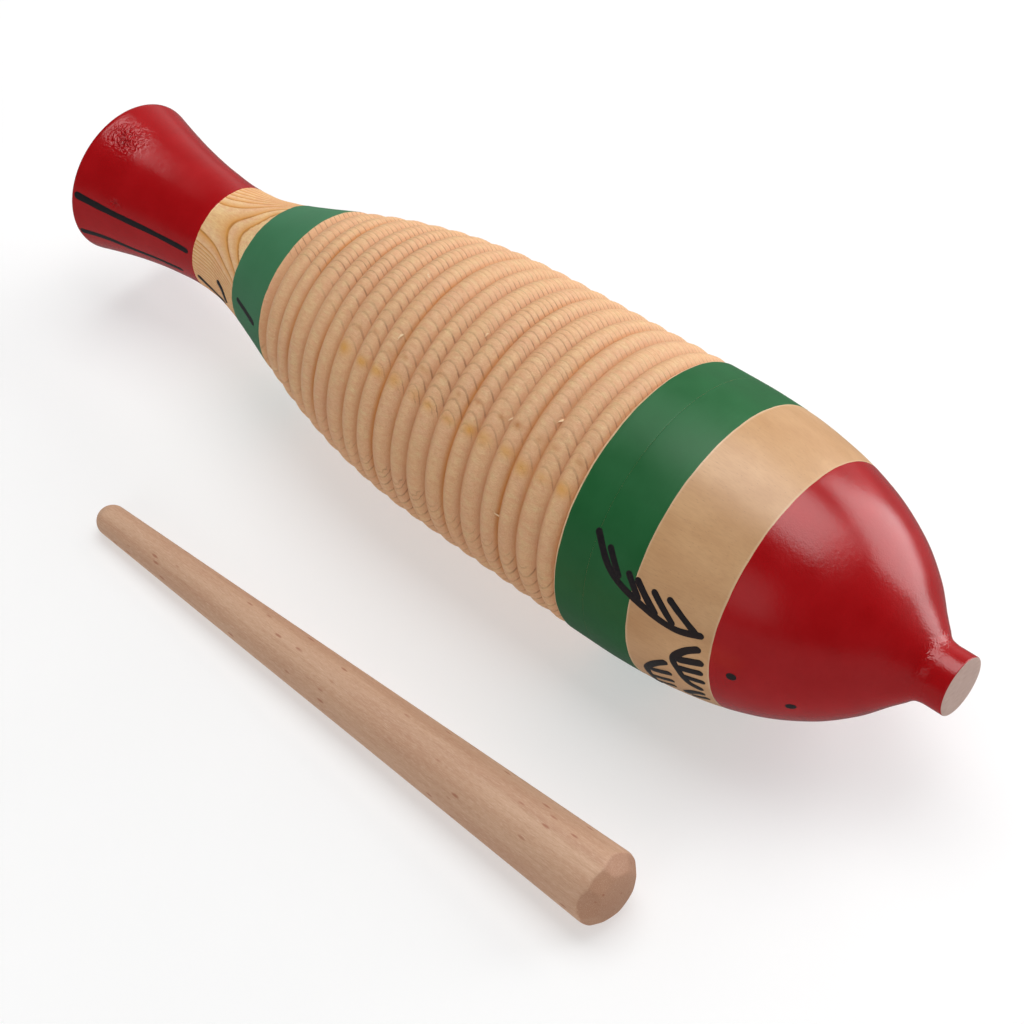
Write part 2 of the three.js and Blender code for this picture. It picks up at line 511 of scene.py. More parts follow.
def pine_marks(s, lined, pit):
    """The marks over the lined wood: spots from the turning, burnished grooves, pale edges, and a darker,
    redder colour in every groove that is partly painted groove shade and partly a reddish tint.
    """
    orange = s.mix(s.attribute("resin"), lined, RESIN)
    brown = s.mix(s.attribute("knot"), orange, KNOT)
    # Painted groove shade, with a reddish tint, in the bottom of every groove.
    shaded_grooves = s.mix(s.attribute("groove"), brown, GROOVE_SHADE_AND_TINT)
    burnt = s.mix(s.attribute("burnish"), shaded_grooves, BURNISHED)
    pale = s.mix(s.attribute("pale"), burnt, TORN)
    return s.mix(s.times(pit, 0.75), pale, LATEWOOD_PIT)


def pine(name, line_width, line_strength, line_colour, soft_strength, soft_colour, crease, base=EARLYWOOD,
         crest_share=0.48, fuzz=0.24):
    """Bare turned pine. The ring attribute counts growth rings, and groove is 1 in the turned grooves."""
    s = Shader(name, INSTRUMENT)
    ring = s.math("FRACT", s.attribute("ring"))
    fade = s.attribute("fade")
    crossing = s.attribute("crossing")
    fine_fibres = s.noise((0.45, 5.0, 5.0), detail=2)
    ground = pine_ground(s, base, fine_fibres)
    soft = s.ramp(ring, (0.0, 0.12), (0.08, 0.0), (0.25, 0.0), (0.70, 0.5), (0.95, 1.0), (1.0, 0.12))
    softened = s.mix(s.times(s.times(soft, fade), soft_strength), ground, soft_colour)
    core = s.ramp(ring, (0.0, 0.2), (0.015, 0.0), (1.0 - 1.6 * line_width, 0.0), (1.0 - line_width, 1.0),
                  (0.985, 1.0), (1.0, 0.2))
    broken = s.range(s.noise(scale=0.35), 0.34, 0.6, 0.35, 1.0)
    line = s.times(s.times(core, broken), fade)
    on_crest = line_strength * crest_share
    shown = s.times(line, s.range(crossing, 0.0, 0.6, on_crest, line_strength))
    pit = s.times(line, s.math("POWER", crossing, 1.6))
    s.set(Base_Color=pine_marks(s, s.mix(shown, softened, line_colour), pit))
    s.set_roughness(fine_fibres, 0.47, 0.62)
    creased = s.bump(line, -crease)
    fuzzy = s.bump(s.noise((0.9, 2.6, 2.6), roughness=0.7), fuzz, normal=creased)
    s.set(Normal=s.bump(fine_fibres, fuzz, normal=fuzzy))
    return s.material


def ridged_pine():
    return pine("pine_ridged", 0.13, 0.95, LATEWOOD, 0.16, SOFT_RING, 0.09)


def neck_pine():
    return pine("pine_neck", 0.10, 0.70, NECK_LINE, 1.0, NECK_SOFT_RING, 0.03, base=NECK_WOOD,
                crest_share=1.0, fuzz=0.03)


def inside_pine():
    return pine("pine_inside", 0.2, 0.6, LATEWOOD, 0.3, INSIDE_SOFT_RING, 0.05)


def gloss_paint(name, colours, roughness, gloss, peel, turning):
    """Brushed paint with slight orange peel, faint turning lines and folds where it wrinkled."""
    s = Shader(name, INSTRUMENT)
    deep, light = colours
    clouds = s.noise(scale=0.09, detail=4)
    mottled = s.noise(scale=0.9)
    lines = s.noise((1.6, 0.03, 0.03))
    colour = s.mix(s.rise(clouds, 0.30, 0.75), deep, light)
    lined = s.mix(s.rise(lines, 0.45, 0.8, 0.35), colour, deep)
    s.set(Base_Color=s.mix(s.rise(mottled, 0.5, 0.85, 0.2), lined, deep))
    s.set_roughness(clouds, roughness * 0.88, roughness * 1.15)
    s.set(Specular_IOR_Level=gloss)
    ripples = s.noise((0.42, 0.34, 0.34), detail=1, distortion=2.0)
    folded = s.times(s.math("SUBTRACT", ripples, 0.5), s.attribute("wrinkle"))
    peeled = s.bump(s.noise(scale=0.8, detail=2), peel)
    turned = s.bump(lines, turning, normal=peeled)
    grainy = s.bump(s.noise(scale=2.4), peel * 0.7, normal=turned)
    s.set(Normal=s.bump(folded, 2.6, normal=grainy))
    return s.material


def red_paint():
    return gloss_paint("red_gloss", RED_PAINT, 0.20, 0.5, 0.045, 0.004)


def green_paint():
    return gloss_paint("green_satin", GREEN_PAINT, 0.42, 0.30, 0.012, 0.012)


def sheen_lit_green_paint():
    """The narrow band: the same green paint in paler colours that paint in its sheen, rougher and hazier
    than the wide one.
    """
    return gloss_paint("green_sheen_lit", SHEEN_LIT_GREEN_PAINT, 0.46, 0.28, 0.012, 0.012)


def lacquered_hardwood():
    """Fine even hardwood under clear lacquer, with short pores, faint clouds and paler band edges."""
    s = Shader("hardwood_lacquered", INSTRUMENT)
    clouds = s.noise((0.03, 0.06, 0.06), detail=4)
    grain = s.noise((0.16, 2.2, 2.2), detail=4, roughness=0.65)
    pores = s.cells((0.22, 1.7, 1.7))
    clouded = s.mix(s.rise(clouds, 0.34, 0.66), *HARDWOOD)
    grained = s.mix(s.rise(grain, 0.42, 0.8, 0.30), clouded, HARDWOOD_GRAIN)
    middle = (GREEN_2[1] + NOSE_PAINT_START) / 2
    half_band = (NOSE_PAINT_START - GREEN_2[1]) / 2
    along_x = s.split(s.position())[0]
    from_middle = s.math("ABSOLUTE", s.math("SUBTRACT", along_x, middle))
    edge = s.range(from_middle, half_band - 0.7, half_band - 0.2, 0.0, 0.35)
    edged = s.mix(edge, grained, HARDWOOD_EDGE)
    s.set(Base_Color=s.mix(s.spots(pores, 0.16, 0.55), edged, HARDWOOD_PORE))
    s.set_roughness(grain, 0.33, 0.42)
    s.set(Normal=s.bump(s.noise(scale=1.1, detail=2), 0.012))
    return s.material


def bare_end_grain():
    """The sawn end of the nose dowel: pale end grain with fine parallel saw lines and growth arcs."""
    s = Shader("dowel_end_grain", INSTRUMENT)
    arcs = s.noise((0.1, 0.35, 1.9))
    specks = s.cells((0.5, 3.2, 3.2))
    saw = s.noise((0.1, 4.5, 1.4), detail=2)
    colour = s.mix(s.rise(arcs, 0.35, 0.7), *END_GRAIN)
    s.set(Base_Color=s.mix(s.spots(specks, 0.2, 0.6), colour, END_GRAIN_SPECK))
    s.set_roughness(arcs, 0.6, 0.75)
    s.set(Normal=s.bump(saw, 0.05))
    return s.material


def beech():
    """Bare sanded beech: pinkish tan with streaks and short dark flecks along the grain."""
    s = Shader("beech_sanded", SCRAPER)
    bands = s.noise((0.012, 0.22, 0.22), detail=4)
    streaks = s.noise((0.04, 0.8, 0.8), detail=5, roughness=0.7)
    threads = s.noise((0.5, 5.0, 5.0), roughness=0.7)
    flecks = s.cells((0.095, 0.36, 0.36))
    flecked_areas = s.noise((0.04, 0.13, 0.13), detail=2)
    rays = s.cells((0.7, 0.9, 3.2), (4.0, 1.0, 2.0))
    banded = s.mix(s.rise(bands, 0.35, 0.65), *BEECH)
    streaked = s.mix(s.rise(streaks, 0.45, 0.78, 0.65), banded, BEECH_STREAK)
    rayed = s.mix(s.spots(rays, 0.22, 0.35), streaked, BEECH_RAY)
    cut = s.mix(s.times(s.attribute("cut"), 0.75), rayed, BEECH_CUT)
    threaded = s.mix(s.rise(threads, 0.5, 0.78, 0.6), cut, BEECH_THREAD)
    pored = s.mix(s.ramp(threads, (0.25, 0.55), (0.45, 0.0)), threaded, BEECH_PORE)
    chosen = s.rise(flecked_areas, 0.37, 0.45)
    marks = s.times(s.ramp(flecks, (0.0, 0.9), (0.10, 0.75), (0.17, 0.0)), chosen)
    s.set(Base_Color=s.mix(marks, pored, BEECH_FLECK))
    s.set_roughness(streaks, 0.52, 0.66)
    s.set(Normal=s.bump(threads, 0.10, normal=s.bump(streaks, 0.05)))
    return s.material


def ink():
    """Black marker, slightly uneven where it soaked in."""
    s = Shader("marker_ink", INSTRUMENT)
    soak = s.noise(scale=1.2)
    s.set(Base_Color=s.mix(s.rise(soak, 0.35, 0.75), *INK))
    s.set_roughness(soak, 0.35, 0.5)
    s.set(Normal=s.bump(soak, 0.02))
    return s.material


def pale_fibre():
    """Freshly torn slivers of earlywood."""
    s = Shader("pine_fibre", INSTRUMENT)
    strands = s.noise((1.5, 4.0, 4.0), detail=2)
    s.set(Base_Color=s.mix(s.rise(strands, 0.35, 0.7), *FIBRE))
    s.set_roughness(strands, 0.5, 0.65)
    s.set(Normal=s.bump(strands, 0.05))
    return s.material


def pale_floor():
    """A matt white floor with a faint glow of its own, so that its shadows stay pale."""
    s = Shader("studio_floor", Matrix.Identity(4))
    grain = s.noise((0.01, 0.01, 0.01))
    s.set(Base_Color=s.mix(s.rise(grain, 0.3, 0.7), *FLOOR))
    s.set_roughness(grain, 0.85, 0.95)
    s.set(Emission_Color=(1.0, 1.0, 1.0), Emission_Strength=FLOOR_GLOW)
    return s.material


# ---- Growth rings of the pine body ----

BARREL_TANGENT = math.radians(36)     # the rings lie flat against the barrel on this side
NECK_TANGENT = math.radians(-7)
BARREL_TILT = 0.05                    # the rings climb towards the nose
TILT_MIDDLE = 215
# Distances of the outer latewood lines from the axis, towards those sides.
BARREL_LINES = (2.4, 4.4, 6.4, 8.4, 10.3, 12.7, 14.6, 16.6, 19.4, 21.6, 23.4, 24.7, 26.6, 28.9, 31.4, 34.2,
                36.5, 39.2, 41.3, 42.9, 43.6)
NECK_LINES = (12.8, 13.7, 14.5, 15.2, 15.9, 16.6, 18.1, 20.0, 21.6)
NECK_SPARSE_BELOW = NECK_LINES[5]     # below this line the rings are wider on the neck's upper side
INNER_RING = 2.1
NECK_INNER_RING = 1.0
OUTER_RING = 8.0
RINGS_TO_AXIS = 60                    # keeps the count positive everywhere
SMOOTH_END = 54.0                     # the barrel shows hardly any lines up to here, in degrees


def count_lines(depth, lines, ring_width):
    """Ring number at a depth: whole at each latewood line, evenly spaced below the first."""
    numbers = np.arange(len(lines), dtype=float)
    inner = (depth - lines[0]) / ring_width
    outer = len(lines) - 1 + np.clip((depth - lines[-1]) / OUTER_RING, 0, 0.9)
    count = np.interp(depth, lines, numbers)
    return np.where(depth < lines[0], inner, np.where(depth > lines[-1], outer, count)) + RINGS_TO_AXIS


def growth_rings(points):
    """Number of growth rings at points of the pine body; its fraction rises to 1 at a latewood line."""
    x, radius, angle = polar(points)
    turn = angle - VIEWER_SIDE
    barrel = radius * np.cos(turn - BARREL_TANGENT) - BARREL_TILT * (x - TILT_MIDDLE)
    barrel = barrel + 0.16 * wobble(11, x / 26, points[:, 1] / 22, points[:, 2] / 22, octaves=2)
    neck = radius * np.cos(turn - NECK_TANGENT)
    neck = neck + 0.16 * (x - 60) * smoothstep(math.radians(20), math.radians(50), -turn)
    sparse = np.where((turn < NECK_TANGENT) & (neck < NECK_SPARSE_BELOW), 0.5, 1.0)
    neck = NECK_SPARSE_BELOW + (neck - NECK_SPARSE_BELOW) * sparse
    neck = neck + 0.22 * wobble(12, x / 9, points[:, 1] / 8, points[:, 2] / 8, octaves=2)
    barrel_count = count_lines(barrel, BARREL_LINES, INNER_RING)
    neck_count = count_lines(neck, NECK_LINES, NECK_INNER_RING)
    return np.where(x > (GREEN_1[0] + GREEN_1[1]) / 2, barrel_count, neck_count)


def line_strength(x, degrees):
    """How clearly the latewood lines show: hardly at all on the side where the rings lie flat."""
    start = np.interp(x, (105, 150), (-10.0, 17.5))
    flat = smoothstep(-1.5, 1.5, degrees - start) * smoothstep(-1.5, 1.5, SMOOTH_END - degrees)
    early = smoothstep(-1.0, 3.0, degrees + 10) * smoothstep(150, 128, x)
    patchy = 0.70 + 0.30 * wobble(24, x / 12, degrees / 14, octaves=2)
    on_barrel = patchy * (1 - 0.92 * flat) * (1 - 0.6 * early)
    return np.where(x > GREEN_1[1], on_barrel, 1.0)


FLANK_SHIFT = 0.5            # the latewood tore on the nose side of the grooves
BURNISHED_GROOVES = (2, 4, 8, 12, 15)
BURNISH_STRENGTHS = (0.9, 1.0, 0.9, 0.8, 0.85)


def near_groove(points, width):
    """1 in the bottom of a turned groove, falling to 0 on the crest of a bead; and that groove's number."""
    gaps = np.abs(points[:, 0][:, None] - GROOVES[None, :])
    number = gaps.argmin(axis=1)
    return np.exp(-((gaps.min(axis=1) / width) ** 2)), number


def burnished_grooves(points, degrees):
    """Thin orange-brown burnish left by the tool in some grooves, and in some stretches of each."""
    closeness, number = near_groove(points, 0.62)
    rng = np.random.default_rng(33)
    strengths = rng.uniform(0.10, 0.50, len(GROOVES))
    strengths[list(BURNISHED_GROOVES)] = BURNISH_STRENGTHS
    stretches = 0.68 + 0.55 * wobble(34, number * 3.1, degrees / 13, octaves=3)
    return closeness * strengths[number] * np.clip(stretches, 0, 1)


def resin_spots(x, degrees, radius, centre, size, seed):
    """One spot per bead where a latewood layer just breaks the crest, around the given angle."""
    rng = np.random.default_rng(seed)
    total = np.zeros(len(x))
    for start, end in zip(GROOVES[5:], GROOVES[6:]):
        at = start + (end - start) * rng.uniform(0.35, 0.8)
        turn = centre + rng.normal() * 1.1
        strength = rng.uniform(0.35, 1.0)
        along_x = (x - at) / (size * rng.uniform(0.7, 1.3))
        round_it = np.radians(degrees - turn) * radius / (size * rng.uniform(0.5, 0.9))
        total += strength * np.exp(-along_x ** 2 - round_it ** 2)
    return np.clip(total, 0, 1)


def pine_attributes(mesh):
    """Writes what the pine material reads at each point of the body."""
    points = coordinates(mesh)
    x, radius, angle = polar(points)
    degrees = from_viewer(angle)

    def round_it(centre):
        return np.radians(degrees - centre) * radius

    ridged = (x > RIDGE_START - 1) & (x < RIDGE_END + 1)
    flank = near_groove(points + [[FLANK_SHIFT, 0, 0]], 0.85)[0]
    shoulder = bell(x, GREEN_1[1] + 0.9, 0.7)
    folds = bell(x, 9.3, 4.2) * bell(round_it(-24), 0, 4.8)
    few_folds = 0.6 * bell(x, 17.5, 1.6) * bell(round_it(28), 0, 1.2)
    set_attribute(mesh, "ring", growth_rings(points))
    set_attribute(mesh, "fade", line_strength(x, degrees))
    set_attribute(mesh, "burnish", ridged * burnished_grooves(points, degrees))
    # How strongly every groove is darkened: painted groove shade with a reddish tint.
    set_attribute(mesh, "groove", ridged * 0.6 * near_groove(points, 1.1)[0])
    set_attribute(mesh, "crossing", np.maximum(ridged * flank, shoulder))
    set_attribute(mesh, "pale", 0.8 * bell(x, GREEN_2[0] - 0.4, 0.35))
    set_attribute(mesh, "resin", 0.95 * resin_spots(x, degrees, radius, 15.0, 2.6, 36))
    set_attribute(mesh, "knot", 0.9 * resin_spots(x, degrees, radius, 4.5, 1.4, 37))
    set_attribute(mesh, "wrinkle", (folds + few_folds) * (x < TAIL_PAINT_END))


# ---- Turned pieces ----

def spread(start, end, step):
    return list(np.linspace(start, end, max(2, int(round(abs(end - start) / step)) + 1)))


def painted(start, end, step):
    """Places of the rows of a painted zone, closer together at its edges."""
    return [start + 0.1, start + 0.4, *spread(start + 1.0, end - 1.0, step), end - 0.4, end - 0.1]


TAIL_RIM = 0.9               # rounding of the tail's rim
BEAD_ROWS = 8
SEAM_RISE = 0.02             # the paint stands a little proud of the notch at the glued joint
TENON_GAP = 0.1


def painted_rows(start, end, step, zone):
    return [(x, outline_radius(x) + PAINT_THICKNESS, zone) for x in painted(start, end, step)]


def bare_rows(start, end, step, zone):
    return [(x, outline_radius(x), zone) for x in spread(start, end, step)]


def on_outline(x, zone, rise=0.0):
    return (x, outline_radius(x) + rise, zone)


def tail_rows(zone):
    """The flat tail end and its rounded rim, from the centre out."""
    rows = [(0.0, r, zone) for r in (8.0, 16.0, 22.0)]
    for t in np.linspace(0, math.pi / 2, 5):
        x = TAIL_RIM * (1 - math.cos(t))
        rows.append((x, outline_radius(TAIL_RIM) - TAIL_RIM * (1 - math.sin(t)), zone))
    return rows


def bead_rows(zone):
    """The beads between the turned grooves, each a parabola with rows closer together near the grooves."""
    rows = []
    for start, end in zip(GROOVES, GROOVES[1:]):
        for t in 0.5 - 0.5 * np.cos(np.pi * np.arange(BEAD_ROWS) / BEAD_ROWS):
            x = start + (end - start) * t
            rows.append((x, outline_radius(x) - RIDGE_DEPTH * (2 * t - 1) ** 2, zone))
    return rows


def body_rows():
    """Rows of the pine body as (x, radius, zone of the band that follows), from the tail's centre."""
    tail, neck, green, ridge, inside, sheen_lit_green = range(6)
    tenon_end = JOINT_AT - TENON_LENGTH - TENON_GAP
    tenon_radius = TENON_RADIUS + TENON_GAP
    return [
        *tail_rows(tail),
        *painted_rows(1.6, TAIL_PAINT_END, 1.7, tail),
        on_outline(TAIL_PAINT_END, neck),
        *bare_rows(TAIL_PAINT_END + 0.8, GREEN_1[0] - 0.1, 1.0, neck),
        on_outline(GREEN_1[0], sheen_lit_green),
        *painted_rows(*GREEN_1, 1.7, sheen_lit_green),
        on_outline(GREEN_1[1], ridge),
        on_outline(RIDGE_START - SHOULDER, ridge),
        *bead_rows(ridge),
        on_outline(RIDGE_END, ridge, -RIDGE_DEPTH),
        on_outline(GREEN_2[0] - 0.35, ridge, -0.12),
        on_outline(GREEN_2[0], green),
        *painted_rows(GREEN_2[0], JOINT_AT, 1.8, green),
        on_outline(JOINT_AT, inside, SEAM_RISE),
        (JOINT_AT, tenon_radius, inside),
        (tenon_end, tenon_radius, inside),
        (tenon_end, BORE_RADIUS, inside),
        *[(x, BORE_RADIUS, inside) for x in spread(JOINT_AT - 22, BORE_TAPER_END, 12)],
        ((BORE_TAPER_END + BORE_BOTTOM) / 2, BORE_RADIUS * 0.85, inside),
        (BORE_BOTTOM, BORE_TIP_RADIUS, inside),
    ]


# How the paint edges waver: (millimetres, waves round the piece).
EDGE_WAVES = ((0.07, 3), (0.05, 7), (0.04, 17), (0.025, 41))


def edge_waver(x_rows, segments, seed):
    """Slight unevenness of the paint edges: how far the rows near each edge shift along the axis."""
    angles = segment_angles(segments)
    shift = np.zeros((len(x_rows), segments))
    for k, edge in enumerate((TAIL_PAINT_END, *GREEN_1, *GREEN_2, NOSE_PAINT_START)):
        waver = sum(
            size * np.sin(waves * angles + wave * 1.7 + k + seed)
            for wave, (size, waves) in enumerate(EDGE_WAVES)
        )
        shift += bell(x_rows, edge, 0.9)[:, None] * waver[None, :]
    return shift


# The finger-hole drill, as (distance from the axis, radius), with a flared mouth that rounds the rim.
DRILL = ((BORE_RADIUS * 0.4, HOLE_RADIUS), (41.0, HOLE_RADIUS), (43.0, HOLE_RADIUS + 0.35),
         (44.5, HOLE_RADIUS + 1.1), (50.0, HOLE_RADIUS + 4.5))


def finger_hole_cutter(x):
    grid_x, grid_r, zones = row_grids([(*step, 0) for step in DRILL], CUTTER_SEGMENTS)
    mesh = turned_mesh("cutter", grid_x, grid_r, zones, DRILL[0][0], DRILL[-1][0])
    mesh.transform(Matrix.Translation((x, 0, 0)) @ Matrix.Rotation(math.pi / 2, 4, "Z"))
    return add_object("cutter", mesh)


def cut_finger_holes(mesh, inside):
    """The mesh with both finger holes drilled through its far wall."""
    blank = add_object("blank", mesh)
    cutters = [finger_hole_cutter(x) for x in HOLE_POSITIONS]
    for cutter in cutters:
        cutter.data.materials.append(inside)
        modifier = blank.modifiers.new("hole", "BOOLEAN")
        modifier.operation = "DIFFERENCE"
        modifier.solver = "EXACT"
        modifier.material_mode = "TRANSFER"
        modifier.object = cutter
    bpy.context.view_layer.update()
    evaluated = blank.evaluated_get(bpy.context.evaluated_depsgraph_get())
    cut = bpy.data.meshes.new_from_object(evaluated)
    for thing in (blank, *cutters):
        bpy.data.objects.remove(thing)
    return cut


def roughen_beads(grid_x, grid_r, on_beads):
    """Lets the softer wood stand proud between the latewood lines, and roughens the beads slightly."""
    angles = segment_angles(BODY_SEGMENTS)
    surface = round_axis(grid_x, grid_r, angles).reshape(-1, 3)
    count = growth_rings(surface).reshape(grid_x.shape)
    pillow = -0.5 - 0.5 * np.cos(2 * math.pi * count)
    shown = line_strength(grid_x, from_viewer(angles)[None, :])
    roughness = 0.05 * wobble(31, grid_x * 0.9, angles[None, :] * 30, octaves=3)
    grid_r += (PILLOW * pillow * shown + roughness) * on_beads[:, None]


def make_body(materials):
    """The pine body: tail, neck, ridged barrel and back of the wide green band, with its chamber."""
    grid_x, grid_r, zones = row_grids(body_rows(), BODY_SEGMENTS)
    x, radius = grid_x[:, 0].copy(), grid_r[:, 0]
    outside = np.arange(len(x)) < np.argmax(x == JOINT_AT)
    on_beads = outside & (x > RIDGE_START - 1) & (x < RIDGE_END + 1) & (radius > BORE_RADIUS)
    grid_x += edge_waver(x, BODY_SEGMENTS, 0) * outside[:, None]
    roughen_beads(grid_x, grid_r, on_beads)
    mesh = turned_mesh("ridged_body", grid_x, grid_r, zones, 0.0, BORE_BOTTOM)
    for material in materials:
        mesh.materials.append(material)
    mesh = cut_finger_holes(mesh, inside=materials[4])
    pine_attributes(mesh)
    piece = place("ridged_body_wood", mesh, INSTRUMENT, 48)
    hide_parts("ridged_body")
    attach(piece, "instrument")


# Where the nose runs out onto the dowel, as (x, radius).
NOSE_FILLET = ((338.8, 11.35), (339.8, 10.55), (340.8, 10.05), (342.0, 9.78), (343.2, DOWEL_RADIUS + 0.03))
SOCKET_RADIUS = DOWEL_RADIUS - 0.05
TENON_CHAMFER = 0.6


def head_rows():
    """Rows of the head: tenon, end of the green band, bare band, painted nose, fillet and socket."""
    green, bare, red, wood = range(4)
    back = JOINT_AT + SEAM_RISE
    tenon_end = back - TENON_LENGTH
    return [
        *[(tenon_end, r, wood) for r in (12.0, 26.0, TENON_RADIUS - TENON_CHAMFER)],
        (tenon_end + TENON_CHAMFER, TENON_RADIUS, wood),
        (back, TENON_RADIUS, wood),
        on_outline(back, green, SEAM_RISE),
        *painted_rows(back, GREEN_2[1], 1.6, green),
        on_outline(GREEN_2[1], bare),
        *bare_rows(GREEN_2[1] + 0.8, NOSE_PAINT_START - 0.5, 1.4, bare),
        on_outline(NOSE_PAINT_START, red),
        *painted_rows(NOSE_PAINT_START, 334, 1.2, red),
        on_outline(336.0, red, 0.05),
        on_outline(337.6, red, 0.1),
        *[(*step, red) for step in NOSE_FILLET],
        (NOSE_FILLET[-1][0], SOCKET_RADIUS, wood),
        (NOSE_AT - DOWEL_DEPTH, SOCKET_RADIUS, wood),
    ]


def make_head(materials):
    """The hardwood head, glued to the body by its tenon."""
    rows = head_rows()
    grid_x, grid_r, zones = row_grids(rows, HEAD_SEGMENTS)
    x = grid_x[:, 0].copy()
    outside = (x > JOINT_AT + 1) & (grid_r[:, 0] > DOWEL_RADIUS)
    grid_x += edge_waver(x, HEAD_SEGMENTS, 1) * outside[:, None]
    mesh = turned_mesh("head", grid_x, grid_r, zones, rows[0][0], rows[-1][0])
    x, _, angle = polar(coordinates(mesh))
    on_top = 0.45 + 0.55 * smoothstep(0.2, 0.9, np.cos(angle - VIEWER_SIDE + 1.0))
    set_attribute(mesh, "wrinkle", 0.16 * bell(x, 341.0, 2.0) * on_top)
    piece = place("head_wood", mesh, INSTRUMENT, 40, materials)
    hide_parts("head")
    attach(piece, "instrument")


def dowel_rows():
    """Rows of the dowel from its hidden end; the paint starts where it leaves the nose."""
    red, bare = range(2)
    r = DOWEL_RADIUS
    back = NOSE_AT - DOWEL_DEPTH + 0.1
    hidden = [(back, 4.0), (back, r - 0.7), (back + 0.6, r - 0.1), (NOSE_AT + 2, r - 0.1)]
    return [
        *[(*step, bare) for step in hidden],
        (NOSE_AT + 2.4, r, red),
        *[(x, r, red) for x in spread(NOSE_AT + 3, LENGTH - 0.5, 0.9)],
        (LENGTH - 0.22, r - 0.03, red),
        (LENGTH - 0.06, r - 0.14, bare),
        (LENGTH, r - 0.3, bare),
        *[(LENGTH, k, bare) for k in (7.5, 5.0, 2.5)],
    ]


def make_dowel(materials):
    rows = dowel_rows()
    mesh = turned_mesh("dowel", *row_grids(rows, DOWEL_SEGMENTS), rows[0][0], LENGTH)
    set_attribute(mesh, "wrinkle", 0.08 * bell(coordinates(mesh)[:, 0], 343.0, 1.6))
    piece = place("nose_dowel_wood", mesh, INSTRUMENT, 40, materials)
    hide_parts("nose_dowel")
    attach(piece, "instrument")


# Knife cuts round the butt of the scraper: (angle, how steep in degrees, where it leaves the side).
BUTT_CUTS = [(-20, 40, 6.4), (28, 47, 5.2), (72, 38, 6.6), (118, 46, 5.4), (165, 42, 6.0), (212, 48, 5.2),
             (255, 40, 6.4), (300, 46, 5.6)]
BUTT_ROWS_FROM = 8.7         # the rows are close together from this far before the butt end
CUT_SOFTNESS = 0.32          # rounding of the edges between the cuts
BUTT_DOME = 24.0             # radius of the slightly domed end


def scraper_stations():
    """Places of the scraper's rows: close together on the round tip and towards the butt's end."""
    tip = SCRAPER_TIP_RADIUS * (1 - np.cos(np.linspace(0.06, math.pi / 2, 12)))
    side = spread(SCRAPER_TIP_RADIUS + 2, SCRAPER_LENGTH - 9, 3.0)
    butt = SCRAPER_LENGTH - BUTT_ROWS_FROM * np.linspace(1.0, 0.012, 56) ** 2
    return np.concatenate([tip, side, butt])


def scraper_side(x):
    """Radius of the tapered stick before its butt is cut."""
    taper = (SCRAPER_BUTT_RADIUS - SCRAPER_TIP_RADIUS) / SCRAPER_LENGTH
    side = SCRAPER_TIP_RADIUS + taper * x
    in_tip = x < SCRAPER_TIP_RADIUS
    side[in_tip] *= np.sqrt(1 - (1 - x[in_tip] / SCRAPER_TIP_RADIUS) ** 2)
    return side


def cut_butt(grid_x, grid_r, angles):
    """The radii once the butt is domed and cut back, with the edges between the cuts rounded."""
    dome = np.sqrt(2 * BUTT_DOME * (SCRAPER_LENGTH - grid_x))
    limits = [np.exp(-grid_r / CUT_SOFTNESS), np.exp(-dome / CUT_SOFTNESS)]
    for angle, steep, start in BUTT_CUTS:
        facing = np.cos(angles - math.radians(angle))[None, :]
        drop = (grid_x - (SCRAPER_LENGTH - start)) * math.tan(math.radians(steep))
        reach = (SCRAPER_BUTT_RADIUS - drop) / np.maximum(facing, 0.05)
        limits.append(np.exp(-np.clip(reach, 0, 60) / CUT_SOFTNESS))
    return -CUT_SOFTNESS * np.log(sum(limits))


def make_scraper(material):
    """A tapered stick, slightly out of round, with a rounded tip and a butt cut back with a knife."""
    x = scraper_stations()
    side = scraper_side(x)
    angles = segment_angles(SCRAPER_SEGMENTS)
    grid_x, grid_r, zones = row_grids([(*row, 0) for row in zip(x, side)], SCRAPER_SEGMENTS)
    grid_r *= 1 + 0.006 * np.sin(2 * angles + 0.4)[None, :] * smoothstep(0, 40, x)[:, None]
    grid_r *= 1 + 0.007 * np.cos(7 * angles + 1.2)[None, :] * smoothstep(60, 170, x)[:, None]
    grid_r += 0.04 * wobble(41, grid_x / 30, angles[None, :], octaves=2)
    grid_r = cut_butt(grid_x, grid_r, angles)
    cut_back = smoothstep(0.15, 0.5, side[:, None] - grid_r) * (grid_x > SCRAPER_LENGTH - 12)
    mesh = turned_mesh("scraper", grid_x, grid_r, zones, 0.0, SCRAPER_LENGTH)
    set_attribute(mesh, "cut", [*cut_back.ravel(), 0.0, 1.0])
    piece = place("scraper_stick", mesh, SCRAPER, 35, [material])
    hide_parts("scraper")
    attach(piece, "scraper")


# ---- Pen strokes ----

INK_RISE = 0.06

